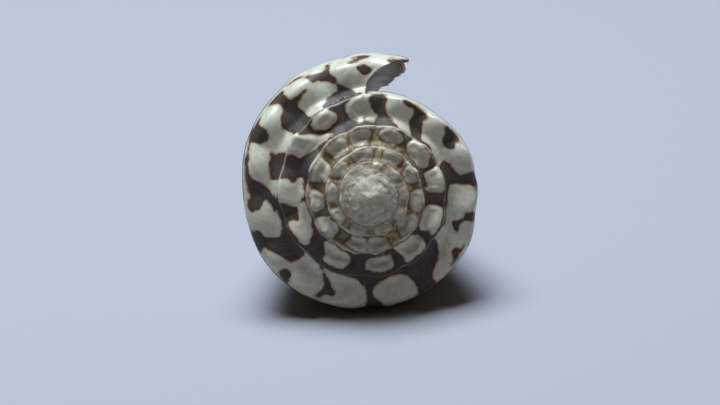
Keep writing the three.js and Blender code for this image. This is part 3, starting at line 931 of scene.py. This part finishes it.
def suture_facts(outer, points):
    """How near each point is to the suture, and to the rubbed crest inside of it, from 0 to 1. Then how far
    the ramp's points are from the suture, and which points those are."""
    groove = np.zeros(len(points))
    crest = np.zeros(len(points))
    upper = outer[ROWS_TO_SUTURE:, :RIDGE_COLUMN]
    away = np.linalg.norm(points[upper] - points[upper[:, :1]], axis=2)
    groove[upper] = 1 - ease(away, *GROOVE_REACH)
    begin = mix(*CREST_BEGINS, ease(row_angle(ALL_ROWS[:LAST_TURN_ROW + 1]), *OLD_WHORLS))
    for column in range(RIDGE_COLUMN - 1, SEAT_COLUMN):
        place = (column - RIDGE_COLUMN) / (SEAT_COLUMN - RIDGE_COLUMN)
        rubbed = ease(place, begin, begin + CREST_RISE) * (1 - ease(place, CREST_END, 1))
        crest[outer[:LAST_TURN_ROW + 1, column]] = rubbed
    return groove, crest, away, upper


def flaky_places(points, angle, away, upper):
    """How flaky the shell is at each point, from 0 to 1, and the height of the flakes' layers."""
    flaky = np.zeros(len(points))
    begun = ease(angle[upper], FLAKES_FROM, FLAKES_FROM + FLAKES_FADE)
    ended = ease(angle[upper], FLAKES_TO - FLAKES_FADE, FLAKES_TO)
    flaky[upper] = begun * (1 - ended) * (1 - ease(away, *FLAKES_REACH))
    long, short = FLAKE_SIZE
    around = np.radians(angle) * whorl_radius(angle)
    radius = np.hypot(points[:, 0], points[:, 1])
    laid_out = np.stack([around / long, radius / short, points[:, 2] / short], 1)
    layers = np.round(FLAKE_LAYERS * lattice_noise(laid_out, 1, 43))
    return flaky, FLAKE_HEIGHT * layers


def add_relief(points, faces, facts, pattern, crest, away, upper):
    """Lifts the points by the fine lumps, the rims of the knobs' patches, the bumpy crests, the pitted worn
    tip and the flakes beside the suture."""
    normals = surface_normals(points, faces)
    angle = facts[:, ANGLE]
    radius = np.hypot(points[:, 0], points[:, 1])
    outside = 1 - np.clip(facts[:, INSIDE] + facts[:, EDGE], 0, 1)
    on_spire = points[:, 2] > -SPIRE_DROP
    worn = (1 - ease(radius, WORN_FADE[0] * WORN_RADIUS, WORN_FADE[1] * WORN_RADIUS)) * on_spire
    older = (1 - ease(angle, *OLD_WHORLS)) * on_spire
    lift = sum(height * lattice_noise(points, size, 31 + k) for k, (size, height) in enumerate(LUMPS))
    sway = np.stack([lattice_noise(points, WOBBLE[0], seed) for seed in (62, 63, 64)], 1)
    points = points + sway * (WOBBLE[1] * older)[:, None]
    for k, (size, height) in enumerate(SPIRE_LUMPS):
        lift = lift + older * (1 - worn) * height * lattice_noise(points, size, 51 + k)
    whorl = whorl_radius(angle)
    rim = np.exp(-(((pattern / whorl + PATCH_RIM_PLACE) / PATCH_RIM_WIDTH) ** 2)) * (angle < DARK_MARKS_FROM)
    lift = lift + along(PATCH_RIM_HEIGHT, angle) * whorl * rim * (1 - worn)
    lift = lift + CREST_LUMPS[1] * crest * lattice_noise(points, CREST_LUMPS[0], 61)
    for k, (size, height) in enumerate(PIT_SIZES):
        lift = lift + worn * height * lattice_noise(points, size, 41 + k)
    for size, height in TIP_SWELLS:
        lift = lift + on_spire * height * np.exp(-((radius / size) ** 2))
    flaky, layers = flaky_places(points, angle, away, upper)
    lift = lift + flaky * layers
    return points + normals * (lift * outside)[:, None], worn, flaky


def make_shell(material):
    """The shell as one closed mesh, with what the material reads at each point."""
    sheet, outer = build_sheet()
    points = np.concatenate(sheet.points)
    facts = np.concatenate(sheet.facts)
    faces = np.concatenate(sheet.faces)
    angle = facts[:, ANGLE]
    facts[outer[LAST_ROW, 1:], EDGE] = LIP_LINE
    pattern, across = pattern_of(points, angle, outer)
    groove, crest, away, upper = suture_facts(outer, points)
    points, worn, flaky = add_relief(points, faces, facts, pattern, crest, away, upper)
    laid, turned, shift = lay_down(points)

    used = np.unique(faces)
    renumber = np.full(len(points), -1)
    renumber[used] = np.arange(len(used))
    mesh = bpy.data.meshes.new("shell")
    mesh.from_pydata(laid[used].tolist(), [], renumber[faces].tolist())
    mesh.shade_smooth()

    values = {
        "pattern": pattern,
        "inside": facts[:, INSIDE],
        "edge": facts[:, EDGE],
        "groove": groove,
        "crest": crest,
        "tan": along(TAN, angle),
        "worn": worn,
        "flaky": flaky,
    }
    for name, value in values.items():
        layer = mesh.attributes.new(name, "FLOAT", "POINT")
        layer.data.foreach_set("value", value[used].astype(np.float32))
    layer = mesh.attributes.new("sheet", "FLOAT_VECTOR", "POINT")
    place = np.stack([facts[:, AGE], across, np.zeros(len(points))], -1)[used]
    layer.data.foreach_set("vector", place.astype(np.float32).ravel())

    shell = bpy.data.objects.new("cone_shell", mesh)
    bpy.context.scene.collection.objects.link(shell)
    mesh.materials.append(material)
    return shell, turned, shift


def linear(code):
    """An sRGB hex value as a linear colour."""
    parts = [int(code[k:k + 2], 16) / 255 for k in (0, 2, 4)]
    return tuple(c / 12.92 if c <= 0.04045 else ((c + 0.055) / 1.055) ** 2.4 for c in parts) + (1.0,)


def node(tree, kind, inputs=None, output=0, **settings):
    """Adds a node with its settings and links, and returns one of its outputs. An input takes a plain
    value, or another node's output."""
    made = tree.nodes.new("ShaderNode" + kind)
    for name, value in settings.items():
        setattr(made, name, value)
    for name, value in (inputs or {}).items():
        if isinstance(value, bpy.types.NodeSocket):
            tree.links.new(value, made.inputs[name])
        else:
            made.inputs[name].default_value = value
    return made.outputs[output] if made.outputs else None


# Settings that many of the finish's nodes share. A MapRange takes its value at 0, what it is read from at 1
# and 2, and what it turns to at 3 and 4. A Mix takes its share at 0 and its two sides at 6 and 7 for colours,
# or at 2 and 3 for numbers.
SMOOTH = {"interpolation_type": "SMOOTHSTEP"}
COLOUR = {"data_type": "RGBA", "output": 2}
POINT = {"attribute_type": "GEOMETRY"}

# The finish's spots, by their width in millimetres, and its growth lines and splinters, by their number to
# the millimetre along the growth and across it.
FAINT_CLOUD = 9.091
CLOUD = 3.846
EDGE_BAY = 1.923
FRAY = 0.9091
GRAIN = 0.3846
FINE_LINES = (2.6, 0.3, 1)
BROAD_BANDS = (0.5, 0.2, 1)
SPLINTERS = (0.8, 2.6, 1)

# How far each kind of spot moves a mark's edge, in millimetres from one side to the other.
CLOUD_REACH = 0.5
BAY_REACH = 0.9
FRAY_REACH = 0.45


def per_metre(width):
    """A noise's scale, from the width of its spots in millimetres."""
    return 1 / (width * MM)


def read_shell(add):
    """What the mesh tells of each point, and the noise that all parts of the finish share."""
    at = SimpleNamespace()
    for name in ("pattern", "inside", "edge", "groove", "crest", "tan", "worn", "flaky"):
        setattr(at, name, add("Attribute", output="Fac", attribute_name=name, **POINT))
    at.sheet = add("Attribute", output="Vector", attribute_name="sheet", **POINT)
    at.place = add("TexCoord", output="Object")
    fine = add("VectorMath", {0: at.sheet, 1: FINE_LINES}, operation="MULTIPLY")
    broad = add("VectorMath", {0: at.sheet, 1: BROAD_BANDS}, operation="MULTIPLY")
    at.lines = add("TexNoise", {"Vector": fine, "Scale": 1.0, "Detail": 3.0, "Roughness": 0.6})
    at.bands = add("TexNoise", {"Vector": broad, "Scale": 1.0, "Detail": 2.0, "Roughness": 0.5})
    spots = {"Vector": at.place, "Detail": 3.0}
    at.cloud = add("TexNoise", {**spots, "Scale": per_metre(CLOUD), "Roughness": 0.55})
    at.ragged = add("TexNoise", {**spots, "Scale": per_metre(FRAY), "Roughness": 0.65})
    return at


def frayed_marks(add, at):
    """Millimetres from a mark's edge, negative in the white. The mantle's edge wavered while it laid down
    the colour, so the marks' edges wander by a few tenths of a millimetre."""
    bay = add("TexNoise", {"Vector": at.place, "Scale": per_metre(EDGE_BAY), "Detail": 1.0, "Roughness": 0.6})
    mark = at.pattern
    for spots, reach in ((at.cloud, CLOUD_REACH), (bay, BAY_REACH), (at.ragged, FRAY_REACH)):
        moved = add("Math", {0: spots, 1: 0.5}, operation="SUBTRACT")
        mark = add("Math", {0: moved, 1: reach, 2: mark}, operation="MULTIPLY_ADD")
    return mark


def dark_ground(add, at, mark):
    """The colour between the white marks: brown-black on the young whorls and tan on the old ones, with a
    rusty fringe where it thins out over the white."""
    lined = add("MapRange", {0: at.lines, 1: 0.3, 2: 0.7}, **SMOOTH)
    young = add("Mix", {0: lined, 6: linear("37302d"), 7: linear("48403d")}, **COLOUR)
    mottled = add("MapRange", {0: at.ragged, 1: 0.35, 2: 0.65}, **SMOOTH)
    old = add("Mix", {0: mottled, 6: linear("65533a"), 7: linear("a08f6c")}, **COLOUR)
    ground = add("Mix", {0: at.tan, 6: young, 7: old}, **COLOUR)
    fringe = add("Mix", {0: at.tan, 6: linear("4d2d20"), 7: linear("6d5036")}, **COLOUR)
    thick = add("MapRange", {0: mark, 1: 0.15, 2: 0.75}, **SMOOTH)
    return add("Mix", {0: thick, 6: fringe, 7: ground}, **COLOUR)


def milky_white(add, at, mark):
    """The white marks: milky, greyer on the old whorls, with darker growth lines and mottles, and cream
    towards their edge."""
    banded = add("MapRange", {0: at.bands, 1: 0.3, 2: 0.75}, **SMOOTH)
    young = add("Mix", {0: banded, 6: linear("c5c0af"), 7: linear("b5b09f")}, **COLOUR)
    clouded = add("MapRange", {0: at.cloud, 1: 0.3, 2: 0.75}, **SMOOTH)
    old = add("Mix", {0: clouded, 6: linear("aca798"), 7: linear("989384")}, **COLOUR)
    white = add("Mix", {0: at.tan, 6: young, 7: old}, **COLOUR)
    lined = add("MapRange", {0: at.lines, 1: 0.5, 2: 0.85, 4: 0.3}, **SMOOTH)
    white = add("Mix", {0: lined, 6: white, 7: linear("8d8878")}, **COLOUR)
    mottled = add("MapRange", {0: at.ragged, 1: 0.48, 2: 0.75, 4: 0.42}, **SMOOTH)
    white = add("Mix", {0: mottled, 6: white, 7: linear("858577")}, **COLOUR)
    border = add("MapRange", {0: mark, 1: -0.4, 2: -0.05, 4: 0.7}, **SMOOTH)
    return add("Mix", {0: border, 6: white, 7: linear("a29678")}, **COLOUR)


def rubbed_places(add, at, colour):
    """Rubbing has bared pale shell along the crests, in a broken line, and all over the tip."""
    faint = {"Vector": at.place, "Scale": per_metre(FAINT_CLOUD), "Detail": 2.0, "Roughness": 0.6}
    young = add("MapRange", {0: add("TexNoise", faint), 1: 0.42, 2: 0.62, 3: 0.12, 4: 0.8}, **SMOOTH)
    old = add("MapRange", {0: at.cloud, 1: 0.35, 2: 0.6, 3: 0.2, 4: 0.95}, **SMOOTH)
    bared = add("Mix", {0: at.tan, 2: young, 3: old})
    rubbed = add("Math", {0: at.crest, 1: bared}, operation="MULTIPLY")
    colour = add("Mix", {0: rubbed, 6: colour, 7: linear("b3ae9c")}, **COLOUR)
    mottled = add("MapRange", {0: at.ragged, 1: 0.3, 2: 0.7}, **SMOOTH)
    tip = add("Mix", {0: mottled, 6: linear("bcb6a3"), 7: linear("979180")}, **COLOUR)
    worn = add("Math", {0: at.worn, 1: 0.95}, operation="MULTIPLY")
    return add("Mix", {0: worn, 6: colour, 7: tip}, **COLOUR)


def darker_suture_and_flakes(add, at, mark, colour):
    """The suture's groove is coloured darker, less so on the white and on the worn tip. Beside its last
    stretch the surface splits into thin brown and cream flakes."""
    groove_darkening = add("MapRange", {0: at.bands, 1: 0.3, 2: 0.6, 3: 0.9, 4: 0.25}, **SMOOTH)
    darkened_groove = add("Math", {0: at.groove, 1: groove_darkening}, operation="MULTIPLY")
    less_on_worn_tip = add("Math", {0: at.worn, 1: -0.6, 2: 1.0}, operation="MULTIPLY_ADD")
    darkened_groove = add("Math", {0: darkened_groove, 1: less_on_worn_tip}, operation="MULTIPLY")
    on_dark = add("MapRange", {0: mark, 1: -0.5, 2: 0.1, 3: 0.35, 4: 1.0}, **SMOOTH)
    darkened_groove = add("Math", {0: darkened_groove, 1: on_dark}, operation="MULTIPLY")
    # The suture's groove is coloured a darker brown.
    colour = add("Mix", {0: darkened_groove, 6: colour, 7: linear("42332a")}, **COLOUR)
    long = add("VectorMath", {0: at.sheet, 1: SPLINTERS}, operation="MULTIPLY")
    splinters = add("TexNoise", {"Vector": long, "Scale": 1.0, "Detail": 3.0, "Roughness": 0.7})
    split = add("MapRange", {0: splinters, 1: 0.45, 2: 0.7}, **SMOOTH)
    flakes = add("Mix", {0: split, 6: linear("332b29"), 7: linear("807469")}, **COLOUR)
    torn = add("Math", {0: at.flaky, 1: at.ragged}, operation="ADD")
    flaked = add("MapRange", {0: torn, 1: 0.75, 2: 1.15}, **SMOOTH)
    return add("Mix", {0: flaked, 6: colour, 7: flakes}, **COLOUR)


def inside_and_lip(add, at, colour):
    """The mouth's inside is porcellaneous and faintly brown, painted darker as shade in the mouth. A dark
    line runs along the lip's edge.
    """
    banded = add("MapRange", {0: at.bands, 1: 0.3, 2: 0.7}, **SMOOTH)
    # Painted shade: the inside is coloured a darker grey-brown than the shell's white, for the shade in the
    # mouth.
    shaded_inside = add("Mix", {0: banded, 6: linear("a5937f"), 7: linear("887968")}, **COLOUR)
    colour = add("Mix", {0: at.inside, 6: colour, 7: shaded_inside}, **COLOUR)
    lip = add("Math", {0: at.edge, 1: 0.85}, operation="MULTIPLY")
    return add("Mix", {0: lip, 6: colour, 7: linear("35302d")}, **COLOUR)


def fine_bump(add, at):
    """Growth lines and grain too fine for the mesh, smoothed over in the suture's groove."""
    spots = {"Vector": at.place, "Scale": per_metre(GRAIN), "Detail": 2.0, "Roughness": 0.6}
    grain = add("Math", {0: add("TexNoise", spots), 1: 0.3}, operation="MULTIPLY")
    relief = add("Math", {0: at.lines, 1: 0.6, 2: grain}, operation="MULTIPLY_ADD")
    free = add("Math", {0: 1.0, 1: at.groove}, operation="SUBTRACT")
    relief = add("Math", {0: relief, 1: free}, operation="MULTIPLY")
    return add("Bump", {"Strength": 0.5, "Distance": 0.08 * MM, "Height": relief})


def gloss(add, at, mark):
    """Roughness and glaze. The dark ground and the groove are duller, and only the white is glazed."""
    satin = add("MapRange", {0: at.cloud, 1: 0.3, 2: 0.7, 3: 0.3, 4: 0.42}, **SMOOTH)
    dull = add("MapRange", {0: mark, 1: 0.0, 2: 0.4, 4: 0.22}, **SMOOTH)
    roughness = add("Math", {0: satin, 1: dull}, operation="ADD")
    roughness = add("Math", {0: at.groove, 1: 0.2, 2: roughness}, operation="MULTIPLY_ADD")
    bare = add("Math", {0: at.groove, 1: at.inside}, operation="MAXIMUM")
    bare = add("Math", {0: bare, 1: at.flaky}, operation="MAXIMUM")
    whole = add("Math", {0: 1.0, 1: bare}, operation="SUBTRACT")
    clean = add("MapRange", {0: mark, 1: -0.3, 2: 0.0, 3: 0.2, 4: 0.0}, **SMOOTH)
    return roughness, add("Math", {0: clean, 1: whole}, operation="MULTIPLY")


def grown_aragonite():
    """Shell of aragonite, laid down line by line at the lip and glazed by the animal's mantle. It gives the
    eye a satin, slightly waxy white with faint growth lines, under which the brown-black ground shows as
    if it were dyed into the surface."""
    material = bpy.data.materials.new("grown_aragonite")
    material.use_nodes = True
    tree = material.node_tree
    tree.nodes.clear()
    add = partial(node, tree)
    at = read_shell(add)
    mark = frayed_marks(add, at)
    dark = dark_ground(add, at, mark)
    white = milky_white(add, at, mark)
    in_dark = add("MapRange", {0: mark, 1: -0.2, 2: 0.22}, **SMOOTH)
    colour = add("Mix", {0: in_dark, 6: white, 7: dark}, **COLOUR)
    colour = rubbed_places(add, at, colour)
    colour = darker_suture_and_flakes(add, at, mark, colour)
    colour = inside_and_lip(add, at, colour)
    roughness, glaze = gloss(add, at, mark)
    shader = add("BsdfPrincipled", {
        "Base Color": colour, "Roughness": roughness, "IOR": 1.5, "Specular IOR Level": 0.28,
        "Coat Weight": glaze, "Coat Roughness": 0.18, "Normal": fine_bump(add, at),
    })
    add("OutputMaterial", {"Surface": shader})
    return material


def matt_card():
    """Matt studio card under the shell: an even pale grey-blue without gloss."""
    material = bpy.data.materials.new("matt_card")
    material.use_nodes = True
    shader = material.node_tree.nodes["Principled BSDF"]
    shader.inputs["Base Color"].default_value = linear("95949b")
    shader.inputs["Roughness"].default_value = 0.9
    shader.inputs["Specular IOR Level"].default_value = 0.1
    return material


def make_floor(material):
    """A floor in metres, far wider than the picture shows."""
    half = 4.0
    mesh = bpy.data.meshes.new("floor")
    corners = [(-half, -half, 0), (half, -half, 0), (half, half, 0), (-half, half, 0)]
    mesh.from_pydata(corners, [], [(0, 1, 2, 3)])
    mesh.materials.append(material)
    floor = bpy.data.objects.new("floor", mesh)
    bpy.context.scene.collection.objects.link(floor)


def place_camera(turned, shift):
    """The camera looks almost along the coiling axis, with the picture's up along the shell's own Y."""
    off = Vector((-math.tan(math.radians(CAMERA_OFF_LEFT)), math.tan(math.radians(CAMERA_OFF_UP)), 1))
    turned = Matrix(turned.tolist())
    back = (turned @ off).normalized()
    right = (turned @ Vector((0, 1, 0))).cross(back).normalized()
    up = back.cross(right)
    axis_point = turned @ Vector((0, 0, AXIS_PLANE)) * MM + Vector(shift.tolist())
    pixel = MM / PIXELS_PER_MM
    aside = (PHOTO_AXIS[0] - PHOTO_SIZE[0] / 2) * pixel
    above = (PHOTO_SIZE[1] / 2 - PHOTO_AXIS[1]) * pixel
    target = axis_point - right * aside - up * above
    data = bpy.data.cameras.new("camera")
    data.sensor_width = 36
    data.lens = data.sensor_width * CAMERA_DISTANCE / (PHOTO_SIZE[0] / PIXELS_PER_MM)
    data.clip_start = 0.05
    data.clip_end = 20
    camera = bpy.data.objects.new("camera", data)
    facing = Matrix((right, up, back)).transposed().to_4x4()
    camera.matrix_world = Matrix.Translation(target + back * CAMERA_DISTANCE * MM) @ facing
    bpy.context.scene.collection.objects.link(camera)
    bpy.context.scene.camera = camera


def add_light(name, azimuth, elevation, distance, size, power, colour):
    """A soft square light that faces the shell, by its place round it in degrees and metres."""
    data = bpy.data.lights.new(name, "AREA")
    data.shape = "SQUARE"
    data.size = size
    data.energy = power
    data.color = linear(colour)[:3]
    a, e = math.radians(azimuth), math.radians(elevation)
    direction = Vector((math.sin(a) * math.cos(e), -math.cos(a) * math.cos(e), math.sin(e)))
    light = bpy.data.objects.new(name, data)
    light.location = Vector((0, 0, 0.02)) + direction * distance
    light.rotation_euler = direction.to_track_quat("Z", "Y").to_euler()
    bpy.context.scene.collection.objects.link(light)


def set_daylight(colour, strength):
    """An even glow from all round, as a room's walls give."""
    world = bpy.data.worlds.new("studio")
    bpy.context.scene.world = world
    world.use_nodes = True
    background = world.node_tree.nodes["Background"]
    background.inputs["Color"].default_value = linear(colour)
    background.inputs["Strength"].default_value = strength


shell, turned, shift = make_shell(grown_aragonite())
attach(shell, "root")
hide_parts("shell")

make_floor(matt_card())
place_camera(turned, shift)
add_light("overhead", azimuth=-140, elevation=82, distance=1.1, size=0.6, power=28.0, colour="e3f3ff")
add_light("card_bounce", azimuth=10, elevation=12, distance=0.8, size=0.7, power=0.1, colour="ffd9a8")
set_daylight(colour="ffe2c0", strength=0.09)
bpy.context.scene.view_settings.view_transform = "Standard"
